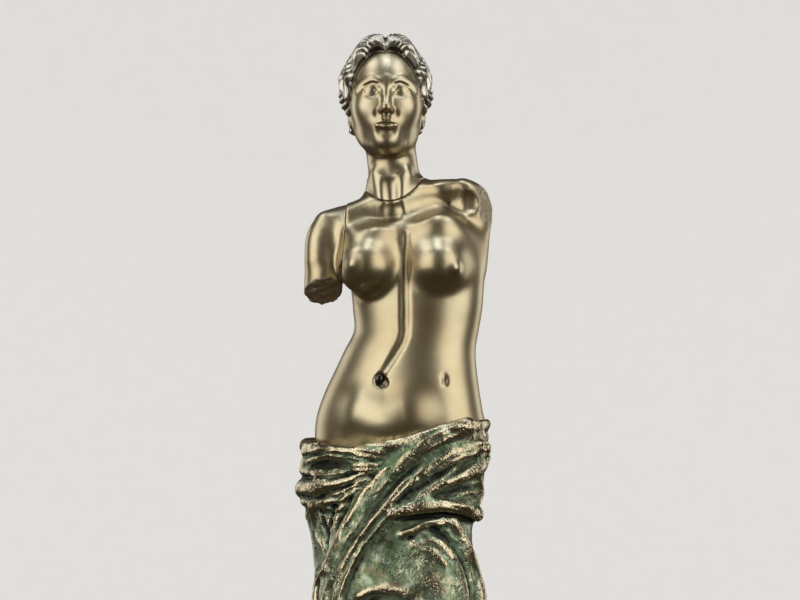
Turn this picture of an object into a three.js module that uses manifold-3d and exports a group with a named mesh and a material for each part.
// A bronze-finished statuette of a draped standing goddess, as its separate castings and
// fasteners: head, torso, right arm stump, draped lower body, base, felt, dowels and screw.
// Millimetres, +Z up, the figure faces -Y. The origin is under the middle of the felt.
import * as THREE from "three";
import { mergeVertices } from "three/addons/utils/BufferGeometryUtils.js";
import Module from "manifold-3d";

const wasm = await Module();
wasm.setup();

const vector = (x, y, z) => new THREE.Vector3(x, y, z);

// ---------------------------------------------------------------- driving dimensions
const OVERALL_HEIGHT = 290;
const FELT_THICKNESS = 1.5;
const BASE_HEIGHT = 18;
const BASE_WIDTH = 84;
const BASE_DEPTH = 78;
const BASE_CORNER = 7;
const SLAB_HEIGHT = 4;
const FIT_GAP = 0.3; // glue gap left between two castings
const HEAD_TOP = OVERALL_HEIGHT;
const BASE_TOP = FELT_THICKNESS + BASE_HEIGHT;

const DOWEL_RADIUS = 2;
const SCREW_RADIUS = 2.5;
const SCREW_HEAD_RADIUS = 4.5;
const SCREW_HEAD_HEIGHT = 3;
const WASHER_RADIUS = 5.5;
const WASHER_THICKNESS = 1;
const INSERT_RADIUS = 3.9;
const INSERT_LENGTH = 9;
const COUNTERBORE_RADIUS = 6.5;
const COUNTERBORE_DEPTH = 7;
const SCREW_SLOT = { length: 5.2, width: 1.1, depth: 1.6 };
const SCREW_REACH = 3; // how far the screw goes through the insert
const INSERT_HOLE_DEPTH = 18;
const FELT_INSET = 2; // from the base's edge to the felt's
const FELT_CORNER = BASE_CORNER - 1;
const COUNTERBORE_ROOF = FELT_THICKNESS + COUNTERBORE_DEPTH;
// The base's moulding from the bottom up: inset from the full size, and height.
const BASE_MOULD = [
  [0, 0],
  [0, 5.0],
  [-1.2, 6.0],
  [-2.4, 6.4],
  [-4.4, 8.2],
  [-5.4, 11.0],
  [-5.4, 13.4],
  [-4.4, 14.2],
  [-4.0, 15.4],
  [-4.4, 16.6],
  [-5.4, BASE_HEIGHT - 0.6],
  [-6.2, BASE_HEIGHT],
];
// The slab of ground under the figure from the bottom up: width, depth, corner and height.
const GROUND_SLAB = [
  [66, 64, 20, BASE_TOP],
  [64, 62, 19, BASE_TOP + SLAB_HEIGHT * 0.7],
  [60, 58, 18, BASE_TOP + SLAB_HEIGHT],
];

// ---------------------------------------------------------------- body sections
// Each row is one level of the body: height, centre x, centre y, half width, depth in front of
// the centre, depth behind it, and how far the level is turned to face the figure's right.
const TORSO_LEVELS = [
  [152.0, -0.8, 1.0, 19.5, 12.4, 13.6, 22],
  [158.0, -0.8, 1.0, 22.4, 13.6, 15.2, 22],
  [165.0, -0.5, 1.0, 25.4, 15.4, 17.4, 22],
  [172.6, -0.1, 0.8, 26.2, 16.2, 18.0, 22],
  [178.0, -0.2, 0.6, 25.2, 15.8, 16.4, 21],
  [184.4, 0.5, 0.4, 23.4, 15.2, 14.6, 20],
  [190.3, 1.6, 0.2, 21.4, 14.6, 13.4, 18],
  [196.2, 2.9, 0.0, 19.7, 14.0, 12.8, 16],
  [202.1, 4.8, 0.0, 18.7, 13.6, 12.8, 15],
  [208.0, 5.15, 0.0, 19.3, 13.6, 13.4, 14],
  [213.9, 5.1, 0.2, 19.8, 13.8, 14.2, 13],
  [220.0, 4.8, 0.4, 20.4, 13.6, 15.0, 12],
  [226.0, 4.0, 0.8, 21.0, 12.6, 15.2, 11],
  [231.0, 3.0, 1.2, 20.4, 11.2, 14.6, 9],
  [236.0, 1.8, 1.6, 17.0, 9.4, 12.6, 8],
  [241.0, 0.2, 1.9, 11.0, 8.0, 10.2, 5],
  [246.0, -1.4, 1.8, 7.4, 7.4, 8.6, 3],
];
const NECK_LEVELS = [
  [234, -0.4, 2.0, 9.0, 8.0, 9.0, 0],
  [240, -0.9, 1.9, 8.4, 7.8, 8.8, 0],
  [246, -1.5, 1.6, 7.7, 7.6, 8.6, 0],
  [252, -2.2, 1.4, 7.5, 7.4, 9.0, 0],
  [260, -3.2, 1.8, 7.4, 7.0, 9.4, 0],
];
const SKIRT_LEVELS = [
  [BASE_TOP + 0.5, -1.0, 1.5, 26.0, 18.4, 20.0, 0],
  [34, -1.0, 1.2, 25.0, 17.6, 19.0, 0],
  [52, -0.8, 0.8, 24.0, 18.2, 18.0, 0],
  [70, -0.4, 0.4, 23.6, 20.0, 17.6, 0],
  [88, 0.0, 0.2, 23.8, 22.6, 17.6, 1],
  [104, 0.2, 0.0, 24.4, 24.0, 17.8, 3],
  [118, 0.0, 0.0, 24.5, 23.6, 18.4, 6],
  [128, -0.2, 0.0, 24.2, 22.4, 19.0, 9],
  [137, -1.8, 0.2, 23.4, 20.8, 19.6, 12],
  [144, -2.6, 0.4, 24.2, 20.0, 20.2, 15],
  [152, -2.6, 0.6, 27.0, 19.6, 21.0, 18],
  [160, -2.4, 0.8, 28.4, 19.2, 21.6, 20],
  [168, -1.6, 0.9, 28.6, 18.8, 21.4, 21],
  [178, -1.0, 0.8, 27.6, 18.0, 20.0, 21],
];
// The drapery's upper edge rises towards the figure's left hip.
const RIM = { point: [0, 0, 169.4], normal: [-0.19, 0, 1] };

// ---------------------------------------------------------------- limbs, heads and masses
// Each row of a limb is a point of its middle line and its radius there. A ball is its middle,
// its three radii and its turn in degrees.
const RIGHT_SHOULDER = [
  [-1.0, 2.4, 240.6, 5.0],
  [-8.0, 2.2, 236.2, 5.6],
  [-16.0, 1.6, 232.8, 6.2],
];
const LEFT_SHOULDER = [
  [2.0, 2.6, 243.0, 4.4],
  [10.0, 2.4, 242.6, 4.4],
  [17.0, 1.6, 241.6, 5.0],
  [20.6, 1.0, 239.4, 6.6],
  [20.8, 0.8, 232.0, 6.0],
  [19.6, 0.8, 222.0, 5.4],
];
const RIGHT_ARM = [
  [-12.5, 1.5, 232.5, 6.6],
  [-18.2, 1.4, 231.2, 6.8],
  [-21.0, 0.8, 226.5, 6.4],
  [-22.2, -0.4, 219.5, 5.9],
  [-22.9, -1.8, 209.0, 5.4],
];
const BREASTS = [
  { centre: [-8.2, -9.6, 219.4], radii: [8.0, 8.2, 8.2], turn: [8, 0, -16] },
  { centre: [11.4, -10.6, 219.2], radii: [8.2, 8.2, 8.4], turn: [8, 0, 8] },
];
const NAVEL = { centre: [-5.6, -16.6, 186.8], radii: [1.5, 3.2, 1.7] };

const SKULL = { centre: [-4.2, 1.6, 273.6], radii: [12.2, 15.0, 14.6] };
const FACE = { centre: [-4.0, -3.8, 268.0], radii: [10.2, 10.6, 12.4] };
const JAW = { centre: [-3.9, -6.2, 260.2], radii: [6.8, 7.0, 5.6] };
const NOSE = [
  [-4.0, -13.6, 271.6, 1.1],
  [-4.0, -15.6, 266.4, 1.7],
  [-4.0, -14.6, 264.4, 1.7],
];
const HAIR_CAP = { centre: [-4.3, 1.8, 275.0], radii: [13.6, 15.8, 15.0] };
const HAIRLINE = { point: [-4.2, -4.6, 276.6], normal: [0, -0.78, -0.62] };
const KNOT = { centre: [-4.3, 17.6, 270.4], radii: [5.8, 5.6, 5.4] };
const EYE_SOCKETS = [-1, 1].map((side) => ({
  centre: [-4.0 + side * 4.4, -14.8, 270.6],
  radii: [2.9, 2.2, 1.9],
}));
const LIPS = { centre: [-4.0, -13.6, 260.6], radii: [2.9, 1.4, 1.3] };
const CHIN = { centre: [-3.95, -11.6, 256.6], radii: [2.9, 2.2, 2.3] };
// One side's waves of hair, as distances to the side of the middle of the head.
const HAIR_MIDDLE = -4.3;
const HAIR_WAVES = [
  [
    [0.8, -10.8, 284.2, 1.9],
    [6.0, -10.8, 281.0, 2.3],
    [9.6, -8.4, 276.6, 2.5],
    [11.8, -4.6, 271.8, 2.4],
    [12.2, 0.6, 268.4, 2.3],
    [9.4, 8.0, 266.4, 2.2],
    [3.6, 14.6, 267.0, 2.0],
  ],
  [
    [0.8, -8.2, 287.4, 1.8],
    [6.6, -7.4, 284.6, 2.3],
    [11.0, -3.8, 279.6, 2.5],
    [13.0, 1.6, 274.6, 2.4],
    [10.8, 9.4, 271.0, 2.2],
    [4.4, 15.2, 270.0, 2.0],
  ],
];

// ---------------------------------------------------------------- the drapery's rolls and folds
// The roll of cloth at the rim: angle from the front, height and radius, right round.
const RIM_ROLL = [
  [-50, 165.6, 2.0],
  [-10, 166.8, 1.8],
  [28, 170.6, 2.2],
  [60, 173.4, 2.6],
  [90, 174.2, 2.8],
  [125, 172.4, 3.0],
  [165, 170.0, 3.2],
  [205, 168.4, 3.2],
  [245, 168.0, 3.0],
  [278, 166.8, 2.6],
];
const KNEE = [
  [13, -5, 156, 11],
  [12, -10, 138, 12.4],
  [9, -13, 120, 12.8],
  [7, -16, 108, 10.6],
  [6, -13, 94, 9],
];
// Folds across the front, each as x, height and radius: they lie on the cloth below them.
const FRONT_FOLDS = [
  [[19.2, 173.1, 2.2], [10.4, 168.7, 2.4], [3.5, 164.2, 2.4], [-1.9, 158.8, 2.3],
   [-7.3, 153.9, 2.2], [-12.3, 146.5, 2.0], [-17.7, 137.7, 1.8], [-20.1, 132.0, 1.6]],
  [[22.6, 166.6, 1.8], [10.4, 162.3, 2.2], [0.5, 154.9, 2.2], [-9.3, 144.1, 2.0],
   [-16.2, 134.2, 1.8], [-20.0, 122.9, 1.8]],
  [[22.6, 161.3, 1.8], [13.3, 156.9, 2.2], [2.5, 151.0, 2.2], [-6.4, 144.1, 2.2],
   [-14.2, 133.3, 2.0], [-17.4, 120.0, 1.8], [-17.0, 100.0, 1.8], [-15.0, 70.0, 1.6]],
  [[-2.4, 147.9, 1.6], [3.5, 149.3, 1.9], [10.4, 149.8, 2.0], [17.7, 149.6, 2.2],
   [21.3, 148.4, 2.6]],
  [[15.8, 144.1, 1.4], [19.2, 138.2, 1.6], [21.7, 129.8, 1.6], [21.0, 100.0, 1.8],
   [18.0, 60.0, 2.0], [17.0, 30.0, 2.2]],
  [[-27.4, 162.4, 2.2], [-20.6, 163.0, 2.2], [-12.2, 161.9, 2.0], [-5.4, 160.6, 1.4]],
  [[-28.2, 156.0, 3.0], [-20.6, 156.0, 2.8], [-11.0, 157.0, 1.8]],
];
// Folds that hang round the lower skirt: angle from the front towards the figure's left at
// the top and the bottom, the height that they start at, and their radius.
const HANGING_FOLDS = [
  [-64, -58, 150, 2.0],
  [-38, -30, 104, 1.8],
  [-18, -12, 92, 2.2],
  [6, 10, 98, 2.4],
  [52, 60, 128, 2.2],
  [86, 88, 150, 2.2],
  [112, 114, 154, 2.4],
  [140, 138, 156, 2.4],
  [168, 166, 158, 2.4],
  [-160, -164, 156, 2.4],
  [-132, -136, 156, 2.4],
  [-100, -104, 154, 2.2],
];
const RIGHT_FOOT = [
  [-12.0, -10, BASE_TOP + SLAB_HEIGHT + 4.4, 4.2],
  [-13.4, -19, BASE_TOP + SLAB_HEIGHT + 2.4, 3.6],
  [-14.0, -25, BASE_TOP + SLAB_HEIGHT + 1.2, 2.6],
];

// ---------------------------------------------------------------- seams and breaks
// The seam between the neck and the chest is a plane that is low in front and to the right.
// It ends at the sides of the neck's root, and it is clear of the shoulders above a height.
const NECK_SEAM = {
  point: vector(-1.0, 0, 242.6),
  normal: vector(-0.24, -0.28, 1).normalize(),
  sides: [-12.5, 9.5],
  free: 252,
};
const ARM_SEAM = { point: vector(-16.4, 0, 226), normal: vector(-1, 0, 0.05).normalize() };
const ARM_BREAK = { point: vector(-23, -2, 213.4), normal: vector(0.05, -0.5, -0.86).normalize() };
const SHOULDER_BREAK = { point: vector(24.9, -2, 239), normal: vector(0.8, -0.52, 0.3).normalize() };

const ARM_ROOM_BOTTOM = 206; // the arm's side of its seam is cut away above this height

// The blocks of space that the skins are made in, and the sizes of their cells.
const BODY_BLOCK = [[-34, -26, 149], [32, 26, 254]];
const HEAD_BLOCK = [[-24, -22, 230], [16, 28, 294]];
const ARM_BLOCK = [[-36, -18, 204], [-10, 20, 246]];
const DRAPERY_BLOCK = [[-38, -36, 17], [36, 32, 182]];
const SOCKET_BLOCK = [[-38, -26, 146], [36, 28, 184]];
const BODY_CELL = 2.55;
const HEAD_CELL = 1.65;
const ARM_CELL = 1.9;
const DRAPERY_CELL = 2.75;

// ---------------------------------------------------------------- geometry helpers

/** A manifold solid from a closed three.js geometry. */
function solid(geometry) {
  const bare = geometry.index ? geometry.toNonIndexed() : geometry.clone();
  const position = bare.getAttribute("position");
  const merged = mergeVertices(new THREE.BufferGeometry().setAttribute("position", position), 1e-4);
  const index = Array.from(merged.index.array);
  const kept = [];
  for (let i = 0; i < index.length; i += 3) {
    const [a, b, c] = index.slice(i, i + 3);
    if (a !== b && b !== c && a !== c) kept.push(a, b, c);
  }
  return new wasm.Manifold(
    new wasm.Mesh({
      numProp: 3,
      vertProperties: merged.attributes.position.array,
      triVerts: new Uint32Array(kept),
    }),
  );
}

/** A three.js geometry, flat shaded, from a manifold solid. */
function geometryOf(body) {
  const mesh = body.getMesh();
  const vertices = new Float32Array(mesh.numVert * 3);
  for (let i = 0; i < mesh.numVert; i++)
    vertices.set(mesh.vertProperties.subarray(i * mesh.numProp, i * mesh.numProp + 3), i * 3);
  const indexed = new THREE.BufferGeometry()
    .setAttribute("position", new THREE.BufferAttribute(vertices, 3))
    .setIndex(new THREE.BufferAttribute(mesh.triVerts, 1));
  const geometry = indexed.toNonIndexed();
  geometry.computeVertexNormals();
  return geometry;
}

/** A closed skin through rings of points, each with as many points, capped at both ends. */
function loft(rings) {
  const size = rings[0].length;
  const points = rings.flat();
  const faces = [];
  for (let r = 0; r < rings.length - 1; r++) {
    const low = r * size;
    const high = low + size;
    for (let i = 0; i < size; i++) {
      const j = (i + 1) % size;
      faces.push(low + i, low + j, high + j, low + i, high + j, high + i);
    }
  }
  const cap = (ring, start, flip) => {
    const middle = ring.reduce((sum, p) => sum.add(p), new THREE.Vector3());
    points.push(middle.divideScalar(size));
    for (let i = 0; i < size; i++) {
      const pair = flip ? [(i + 1) % size, i] : [i, (i + 1) % size];
      faces.push(start + pair[0], start + pair[1], points.length - 1);
    }
  };
  cap(rings[0], 0, true);
  cap(rings.at(-1), (rings.length - 1) * size, false);
  return new THREE.BufferGeometry().setFromPoints(points).setIndex(faces);
}

/** A round rod along an axis, from a point, with a length. */
function rod(start, axis, radius, length, sides = 20) {
  const direction = axis.clone().normalize();
  const geometry = new THREE.CylinderGeometry(radius, radius, length, sides)
    .translate(0, length / 2, 0)
    .applyQuaternion(
      new THREE.Quaternion().setFromUnitVectors(new THREE.Vector3(0, 1, 0), direction),
    )
    .translate(start.x, start.y, start.z);
  return solid(geometry);
}

/** The half of space on the side that the normal points to, as a large block. */
function halfSpace(point, normal, offset = 0) {
  const size = 400;
  const geometry = new THREE.BoxGeometry(size, size, size)
    .translate(0, 0, size / 2 + offset)
    .applyQuaternion(
      new THREE.Quaternion().setFromUnitVectors(new THREE.Vector3(0, 0, 1), normal),
    )
    .translate(point.x, point.y, point.z);
  return solid(geometry);
}

/** A rounded rectangle's outline as ring points at one height. */
function slabRing(width, depth, corner, z, cornerSteps = 5) {
  const ring = [];
  const corners = [
    [1, -1, -90],
    [1, 1, 0],
    [-1, 1, 90],
    [-1, -1, 180],
  ];
  for (const [sx, sy, start] of corners)
    for (let i = 0; i <= cornerSteps; i++) {
      const angle = THREE.MathUtils.degToRad(start + (90 * i) / cornerSteps);
      ring.push(
        new THREE.Vector3(
          sx * (width / 2 - corner) + corner * Math.cos(angle),
          sy * (depth / 2 - corner) + corner * Math.sin(angle),
          z,
        ),
      );
    }
  return ring;
}

// ---------------------------------------------------------------- rounded forms
// A form is a function from a place to its distance from the form's skin, negative inside.

const radians = THREE.MathUtils.degToRad;

/** The nearer of two forms' distances, rounded into each other over a width. */
function softMin(a, b, width) {
  const overlap = Math.max(width - Math.abs(a - b), 0);
  return Math.min(a, b) - (overlap * overlap) / (4 * width);
}

/** Forms joined with fillets of about the given width. */
const blended = (width, ...forms) => (x, y, z) =>
  forms.reduce((nearest, form) => softMin(nearest, form(x, y, z), width), 1e3);

/** A form with another one pressed into it, with its edge rounded over a width. */
const pressed = (form, tool, width) => (x, y, z) =>
  -softMin(-form(x, y, z), tool(x, y, z), width);

/** A form with its skin moved outwards. */
const grown = (form, by) => (x, y, z) => form(x, y, z) - by;

/** Distance to an ellipse or ellipsoid from the offsets and radii of its axes. */
function ellipticDistance(offsets, radii) {
  const near = Math.hypot(...offsets.map((o, i) => o / radii[i]));
  const slope = Math.hypot(...offsets.map((o, i) => o / radii[i] ** 2));
  return (near * (near - 1)) / Math.max(slope, 1e-6);
}

/** An ellipsoid. */
function ballForm({ centre, radii, turn = [0, 0, 0] }) {
  const back = new THREE.Quaternion()
    .setFromEuler(new THREE.Euler(radians(turn[0]), radians(turn[1]), radians(turn[2]), "ZYX"))
    .invert();
  return (x, y, z) => {
    const p = vector(x - centre[0], y - centre[1], z - centre[2]).applyQuaternion(back);
    return ellipticDistance([p.x, p.y, p.z], radii);
  };
}

/** A round limb of changing radius along a smooth line through its rows. */
function limbForm(rows, { steps = 10, closed = false } = {}) {
  const path = new THREE.CatmullRomCurve3(rows.map(([x, y, z]) => vector(x, y, z)), closed);
  const spans = closed ? rows.length : rows.length - 1;
  const stations = Array.from({ length: steps + 1 }, (_, s) => {
    const place = (s / steps) * spans;
    const low = Math.min(Math.floor(place), spans - 1);
    const next = rows[(low + 1) % rows.length];
    const radius = THREE.MathUtils.lerp(rows[low][3], next[3], place - low);
    return { ...path.getPoint(s / steps), radius };
  });
  return (x, y, z) => {
    let nearest = 1e3;
    for (let s = 0; s < steps; s++) {
      const a = stations[s];
      const b = stations[s + 1];
      const [dx, dy, dz] = [b.x - a.x, b.y - a.y, b.z - a.z];
      const along = (x - a.x) * dx + (y - a.y) * dy + (z - a.z) * dz;
      const t = THREE.MathUtils.clamp(along / (dx * dx + dy * dy + dz * dz), 0, 1);
      const away = Math.hypot(x - a.x - t * dx, y - a.y - t * dy, z - a.z - t * dz);
      nearest = Math.min(nearest, away - THREE.MathUtils.lerp(a.radius, b.radius, t));
    }
    return nearest;
  };
}

/** A body of elliptical levels, smooth from one level to the next, flat at both ends. */
function levelsForm(levels) {
  const heights = levels.map((row) => row[0]);
  const values = levels.flatMap((row) => row.slice(1));
  const curve = new THREE.CubicInterpolant(heights, values, levels[0].length - 1);
  const [bottom, top] = [heights[0], heights.at(-1)];
  return (x, y, z) => {
    const inside = THREE.MathUtils.clamp(z, bottom, top);
    const [cx, cy, halfWidth, front, back, yaw] = curve.evaluate(inside);
    const [c, s] = [Math.cos(radians(yaw)), Math.sin(radians(yaw))];
    const across = (x - cx) * c - (y - cy) * s;
    const deep = (x - cx) * s + (y - cy) * c;
    const side = ellipticDistance([across, deep], [halfWidth, deep < 0 ? front : back]);
    return Math.max(side, bottom - z, z - top);
  };
}

/** The half of space behind a plane. */
const behindForm = ({ point, normal }) => {
  const out = vector(...normal).normalize();
  return (x, y, z) => vector(x - point[0], y - point[1], z - point[2]).dot(out);
};

/** How far out a form's skin is in a direction from a middle line, at a height. */
function skinReach(form, [dx, dy], [mx, my], z) {
  let reach = 45;
  for (let i = 0; i < 60 && form(mx + reach * dx, my + reach * dy, z) > 0.02; i++)
    reach -= Math.max(form(mx + reach * dx, my + reach * dy, z) * 0.7, 0.05);
  return reach;
}

/** Fills the gaps that are narrower than a cell, where a skin would touch itself. */
function fillPinches(value, [nx, ny, nz], at) {
  const faces = [
    [0, 1, 0, 0, 0, 1],
    [1, 0, 0, 0, 0, 1],
    [1, 0, 0, 0, 1, 0],
  ];
  let filled = true;
  while (filled) {
    filled = false;
    for (let i = 0; i < nx - 1; i++)
      for (let j = 0; j < ny - 1; j++)
        for (let k = 0; k < nz - 1; k++)
          for (const [a, b, c, d, e, f] of faces) {
            const ring = [
              at(i, j, k),
              at(i + a, j + b, k + c),
              at(i + a + d, j + b + e, k + c + f),
              at(i + d, j + e, k + f),
            ];
            const inside = ring.map((n) => value[n] < 0);
            if (inside[0] !== inside[2] || inside[1] !== inside[3] || inside[0] === inside[1])
              continue;
            const open = ring.filter((n) => value[n] >= 0);
            value[value[open[0]] < value[open[1]] ? open[0] : open[1]] = -0.05;
            filled = true;
          }
  }
}

/** A closed skin round a form: one vertex in each grid cell that the skin passes through. */
function skin(form, [low, high], cell) {
  const count = low.map((v, i) => Math.ceil((high[i] - v) / cell) + 1);
  const [nx, ny, nz] = count;
  const at = (i, j, k) => (i * ny + j) * nz + k;
  const place = (i, j, k) => [low[0] + i * cell, low[1] + j * cell, low[2] + k * cell];
  const value = new Float64Array(nx * ny * nz);
  for (let i = 0; i < nx; i++)
    for (let j = 0; j < ny; j++)
      for (let k = 0; k < nz; k++) {
        const onEdge = i % (nx - 1) === 0 || j % (ny - 1) === 0 || k % (nz - 1) === 0;
        const distance = form(...place(i, j, k)) || 1e-6;
        value[at(i, j, k)] = onEdge ? Math.max(distance, cell / 2) : distance;
      }

  fillPinches(value, count, at);

  const corners = [0, 1, 2, 3, 4, 5, 6, 7].map((c) => [c >> 2, (c >> 1) & 1, c & 1]);
  const edges = [];
  for (let a = 0; a < 8; a++)
    for (const bit of [1, 2, 4]) if (!(a & bit)) edges.push([a, a | bit]);

  const points = [];
  const vertexOf = new Int32Array(nx * ny * nz).fill(-1);
  for (let i = 0; i < nx - 1; i++)
    for (let j = 0; j < ny - 1; j++)
      for (let k = 0; k < nz - 1; k++) {
        const values = corners.map(([a, b, c]) => value[at(i + a, j + b, k + c)]);
        const middle = vector(0, 0, 0);
        let crossings = 0;
        for (const [a, b] of edges) {
          if (values[a] < 0 === values[b] < 0) continue;
          const t = values[a] / (values[a] - values[b]);
          middle.add(vector(...corners[a]).lerp(vector(...corners[b]), t));
          crossings++;
        }
        if (crossings === 0) continue;
        vertexOf[at(i, j, k)] = points.length;
        middle.divideScalar(crossings).multiplyScalar(cell);
        points.push(middle.add(vector(...place(i, j, k))));
      }

  const faces = [];
  const quad = (a, b, c, d, flip) => {
    const [p, q, r, s] = flip ? [d, c, b, a] : [a, b, c, d];
    if (points[p].distanceTo(points[r]) < points[q].distanceTo(points[s]))
      faces.push(p, q, r, p, r, s);
    else faces.push(p, q, s, q, r, s);
  };
  for (let i = 0; i < nx - 1; i++)
    for (let j = 0; j < ny - 1; j++)
      for (let k = 0; k < nz - 1; k++) {
        const here = value[at(i, j, k)] < 0;
        const cellAt = (a, b, c) => vertexOf[at(i - a, j - b, k - c)];
        if (j && k && here !== value[at(i + 1, j, k)] < 0)
          quad(cellAt(0, 1, 1), cellAt(0, 0, 1), cellAt(0, 0, 0), cellAt(0, 1, 0), !here);
        if (i && k && here !== value[at(i, j + 1, k)] < 0)
          quad(cellAt(1, 0, 1), cellAt(1, 0, 0), cellAt(0, 0, 0), cellAt(0, 0, 1), !here);
        if (i && j && here !== value[at(i, j, k + 1)] < 0)
          quad(cellAt(1, 1, 0), cellAt(0, 1, 0), cellAt(0, 0, 0), cellAt(1, 0, 0), !here);
      }
  return solid(new THREE.BufferGeometry().setFromPoints(points).setIndex(faces));
}

const unite = (...parts) => parts.reduce((a, b) => a.add(b));

/** The largest of a solid's separate bodies, without the slivers that a cut leaves. */
function largest(made) {
  return made.decompose().reduce((a, b) => (b.volume() > a.volume() ? b : a));
}

// ---------------------------------------------------------------- dowels and their holes
const NECK_DOWEL = { start: vector(-0.6, 1.8, 234), axis: NECK_SEAM.normal, length: 18 };
const ARM_DOWEL = { start: vector(-10.5, 1.2, 230.6), axis: ARM_SEAM.normal, length: 12 };
const WAIST_DOWELS = {
  waist_dowel_right: { start: vector(-9, 0, 142), axis: vector(0, 0, 1), length: 22 },
  waist_dowel_left: { start: vector(8, 0, 142), axis: vector(0, 0, 1), length: 22 },
};

/** A dowel's solid, or the hole that it is glued into when grow is the glue gap. */
function dowel({ start, axis, length }, grow = 0) {
  const direction = axis.clone().normalize();
  const from = start.clone().addScaledVector(direction, -grow);
  return rod(from, direction, DOWEL_RADIUS + grow, length + 2 * grow, 16);
}

/** A solid with holes for a set of dowels. */
const drilled = (made, ...dowels) =>
  dowels.reduce((left, d) => left.subtract(dowel(d, FIT_GAP)), made);

// ---------------------------------------------------------------- the castings
/** The space of the head's casting: above the seam, and over the shoulders only higher up. */
function headSpace(offset) {
  const [left, right] = NECK_SEAM.sides;
  const depth = 100;
  const root = solid(
    new THREE.BoxGeometry(right - left - 2 * offset, depth, NECK_SEAM.free).translate(
      (left + right) / 2,
      0,
      NECK_SEAM.free / 2,
    ),
  );
  const above = halfSpace(vector(0, 0, NECK_SEAM.free - 1), vector(0, 0, 1));
  return unite(root, above).intersect(halfSpace(NECK_SEAM.point, NECK_SEAM.normal, offset));
}

const neck = levelsForm(NECK_LEVELS);
const bareBody = pressed(
  blended(
    3.4,
    blended(1.4, levelsForm(TORSO_LEVELS), ...BREASTS.map(ballForm)),
    limbForm(RIGHT_SHOULDER),
    limbForm(LEFT_SHOULDER, { steps: 14 }),
    neck,
    limbForm(RIGHT_ARM),
  ),
  ballForm(NAVEL),
  1,
);
const hips = levelsForm(TORSO_LEVELS);

/** Head with its hair, knot and neck, down to the seam at the chest. */
function makeHead() {
  const bare = blended(3, ballForm(SKULL), ballForm(FACE), ballForm(JAW), neck);
  const sockets = blended(0.5, ...EYE_SOCKETS.map(ballForm));
  const face = blended(1.2, pressed(bare, sockets, 1.4), ballForm(LIPS), ballForm(CHIN));
  const cap = pressed(ballForm(HAIR_CAP), (x, y, z) => -behindForm(HAIRLINE)(x, y, z), 1.5);
  const waves = HAIR_WAVES.flatMap((wave) =>
    [-1, 1].map((side) =>
      limbForm(
        wave.map(([out, y, z, r]) => [HAIR_MIDDLE + side * out, y, z, r]),
        { steps: 14 },
      ),
    ),
  );
  const hair = blended(1.6, cap, ballForm(KNOT), ...waves);
  const form = blended(1, blended(2, face, limbForm(NOSE, { steps: 4 })), hair, bareBody);
  const made = skin(form, HEAD_BLOCK, HEAD_CELL);
  const top = made.boundingBox().max[2];
  const raised = made.translate([0, 0, HEAD_TOP - top]).intersect(headSpace(FIT_GAP / 2));
  return drilled(largest(raised), NECK_DOWEL);
}

/** The bare chest, belly and hips, with the left shoulder's broken stump. */
function makeTorso() {
  const made = skin(bareBody, BODY_BLOCK, BODY_CELL);
  const armRoom = halfSpace(ARM_SEAM.point, ARM_SEAM.normal, -FIT_GAP / 2).intersect(
    halfSpace(vector(0, 0, ARM_ROOM_BOTTOM), vector(0, 0, 1)),
  );
  const whole = made
    .subtract(headSpace(-FIT_GAP / 2))
    .subtract(armRoom)
    .subtract(halfSpace(SHOULDER_BREAK.point, SHOULDER_BREAK.normal));
  return drilled(largest(whole), NECK_DOWEL, ARM_DOWEL, ...Object.values(WAIST_DOWELS));
}

/** The right upper arm, from its seam at the shoulder to the broken end. */
function makeArm() {
  const made = skin(bareBody, ARM_BLOCK, ARM_CELL)
    .intersect(halfSpace(ARM_SEAM.point, ARM_SEAM.normal, FIT_GAP / 2))
    .subtract(halfSpace(ARM_BREAK.point, ARM_BREAK.normal));
  return drilled(largest(made), ARM_DOWEL);
}

/** The draped legs, with the rolled cloth at the hips and every fold laid on the cloth. */
function drapedForm() {
  const legs = blended(5, levelsForm(SKIRT_LEVELS), limbForm(KNEE));
  const front = FRONT_FOLDS.map((fold) =>
    limbForm(
      fold.map(([x, z, r]) => [x, -skinReach(legs, [0, -1], [x, 0], z) + r * 0.1, z, r]),
      { steps: 12 },
    ),
  );
  const hanging = HANGING_FOLDS.map(([from, to, start, radius]) => {
    const rows = [0, 1, 2, 3, 4].map((step) => {
      const share = step / 4;
      const angle = radians(THREE.MathUtils.lerp(from, to, share));
      const z = THREE.MathUtils.lerp(start, BASE_TOP + SLAB_HEIGHT + 1, share);
      const toward = [Math.sin(angle), -Math.cos(angle)];
      const reach = skinReach(legs, toward, [0, 0], z);
      return [reach * toward[0], reach * toward[1], z, radius * (0.5 + 0.6 * share)];
    });
    return limbForm(rows, { steps: 8 });
  });
  const rimRows = RIM_ROLL.map(([angle, z, radius]) => {
    const toward = [Math.sin(radians(angle)), -Math.cos(radians(angle))];
    const reach = skinReach(legs, toward, [0, 0], z) - radius * 0.2;
    return [reach * toward[0], reach * toward[1], z, radius];
  });
  const rim = limbForm(rimRows, { steps: 32, closed: true });
  const belowRim = behindForm(RIM);
  const trimmed = (x, y, z) => Math.max(legs(x, y, z), belowRim(x, y, z));
  const cloth = blended(1.6, trimmed, rim, ...front, ...hanging);
  return blended(1.2, cloth, limbForm(RIGHT_FOOT, { steps: 5 }));
}

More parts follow.
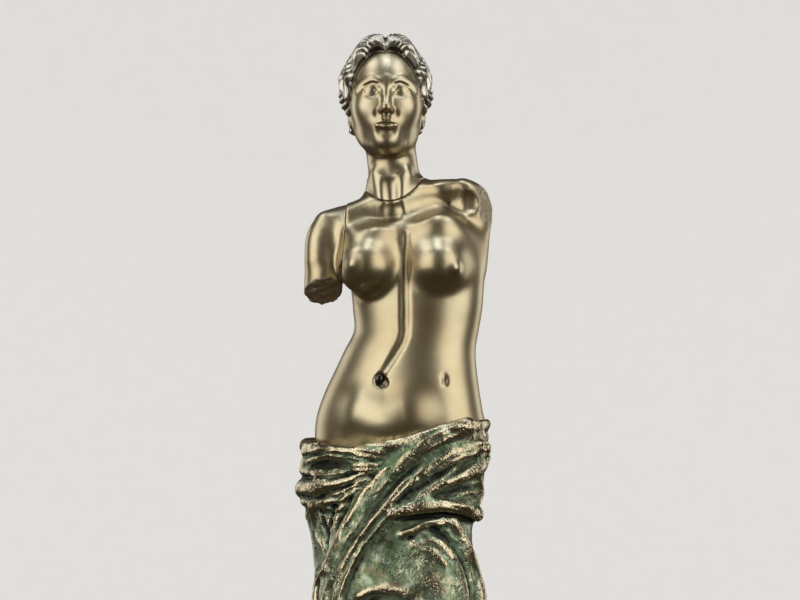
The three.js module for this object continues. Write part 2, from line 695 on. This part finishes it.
/** Legs under the drapery, the rolled cloth at the hips, the right foot and the ground slab. */
function makeDrapery() {
  const cloth = skin(drapedForm(), DRAPERY_BLOCK, DRAPERY_CELL);
  const slab = solid(loft(GROUND_SLAB.map((level) => slabRing(...level))));
  const socket = skin(grown(hips, 2 * FIT_GAP), SOCKET_BLOCK, BODY_CELL);
  const insertHole = rod(
    vector(0, 0, BASE_TOP - 1),
    vector(0, 0, 1),
    INSERT_RADIUS + FIT_GAP,
    INSERT_HOLE_DEPTH + 1,
  );
  const aboveGround = halfSpace(vector(0, 0, BASE_TOP), vector(0, 0, 1));
  const whole = unite(cloth.intersect(aboveGround), slab).subtract(socket).subtract(insertHole);
  return drilled(largest(whole), ...Object.values(WAIST_DOWELS));
}

/** The moulded base, with the screw's clearance hole and counterbore. */
function makeBase() {
  const block = solid(
    loft(
      BASE_MOULD.map(([inset, up]) =>
        slabRing(
          BASE_WIDTH + 2 * inset,
          BASE_DEPTH + 2 * inset,
          BASE_CORNER + inset * 0.6,
          FELT_THICKNESS + up,
        ),
      ),
    ),
  );
  const hole = rod(vector(0, 0, -5), vector(0, 0, 1), SCREW_RADIUS + FIT_GAP, 60);
  const counterbore = rod(
    vector(0, 0, -5),
    vector(0, 0, 1),
    COUNTERBORE_RADIUS,
    5 + FELT_THICKNESS + COUNTERBORE_DEPTH,
  );
  return block.subtract(hole).subtract(counterbore);
}

/** The felt sheet glued under the base. */
function makeFelt() {
  const [width, depth] = [BASE_WIDTH - 2 * FELT_INSET, BASE_DEPTH - 2 * FELT_INSET];
  const outline = (z) => slabRing(width, depth, FELT_CORNER, z);
  return solid(loft([outline(0), outline(FELT_THICKNESS)]));
}

/** The flat washer between the screw's head and the counterbore's roof. */
function makeWasher() {
  const bottom = COUNTERBORE_ROOF - WASHER_THICKNESS;
  return rod(vector(0, 0, bottom), vector(0, 0, 1), WASHER_RADIUS, WASHER_THICKNESS, 28).subtract(
    rod(vector(0, 0, bottom - 1), vector(0, 0, 1), SCREW_RADIUS + FIT_GAP, 4),
  );
}

/** The pan-head screw that holds the figure to its base, with a cross slot. */
function makeScrew() {
  const underHead = COUNTERBORE_ROOF - WASHER_THICKNESS;
  const headBottom = underHead - SCREW_HEAD_HEIGHT;
  const shankLength = BASE_TOP + INSERT_LENGTH + SCREW_REACH - underHead;
  const head = solid(
    new THREE.LatheGeometry(
      [
        new THREE.Vector2(0, 0),
        new THREE.Vector2(SCREW_HEAD_RADIUS * 0.62, 0),
        new THREE.Vector2(SCREW_HEAD_RADIUS * 0.92, SCREW_HEAD_HEIGHT * 0.35),
        new THREE.Vector2(SCREW_HEAD_RADIUS, SCREW_HEAD_HEIGHT * 0.8),
        new THREE.Vector2(SCREW_HEAD_RADIUS, SCREW_HEAD_HEIGHT),
        new THREE.Vector2(0, SCREW_HEAD_HEIGHT),
      ],
      24,
    )
      .rotateX(Math.PI / 2)
      .translate(0, 0, headBottom),
  );
  const shank = rod(vector(0, 0, underHead - 1), vector(0, 0, 1), SCREW_RADIUS, shankLength + 1);
  const { length, width, depth } = SCREW_SLOT;
  const slot = (w, d) => solid(new THREE.BoxGeometry(w, d, 2 * depth).translate(0, 0, headBottom));
  return unite(head, shank).subtract(slot(length, width)).subtract(slot(width, length));
}

/** The knurled brass insert moulded into the figure, which takes the screw. */
function makeInsert() {
  const bottom = BASE_TOP + 0.5;
  return rod(vector(0, 0, bottom), vector(0, 0, 1), INSERT_RADIUS, INSERT_LENGTH, 24).subtract(
    rod(vector(0, 0, bottom - 1), vector(0, 0, 1), SCREW_RADIUS + FIT_GAP, INSERT_LENGTH + 2),
  );
}

// ---------------------------------------------------------------- materials and the scene graph
const finish = (color, roughness, metalness) =>
  new THREE.MeshStandardMaterial({ color, roughness, metalness });
const skinBronze = finish(0x9a8460, 0.32, 0.95);
const patinaBronze = finish(0x4f6350, 0.55, 0.8);
const baseBronze = finish(0x4a3d2a, 0.45, 0.85);
const steel = finish(0xb4b6b8, 0.35, 1);
const brass = finish(0xc0994a, 0.35, 1);
const felt = finish(0x1d2a22, 0.95, 0);

const statuette = new THREE.Group();

/** Adds one named piece to the statuette. */
function piece(name, made, material) {
  const mesh = new THREE.Mesh(geometryOf(made), material);
  mesh.name = name;
  statuette.add(mesh);
}

piece("head", makeHead(), skinBronze);
piece("torso", makeTorso(), skinBronze);
piece("right_arm", makeArm(), skinBronze);
piece("drapery", makeDrapery(), patinaBronze);
piece("base", makeBase(), baseBronze);
piece("felt_pad", makeFelt(), felt);
piece("neck_dowel", dowel(NECK_DOWEL), steel);
piece("arm_dowel", dowel(ARM_DOWEL), steel);
for (const [name, place] of Object.entries(WAIST_DOWELS)) piece(name, dowel(place), steel);
piece("base_screw", makeScrew(), steel);
piece("base_washer", makeWasher(), steel);
piece("threaded_insert", makeInsert(), brass);

export default statuette;
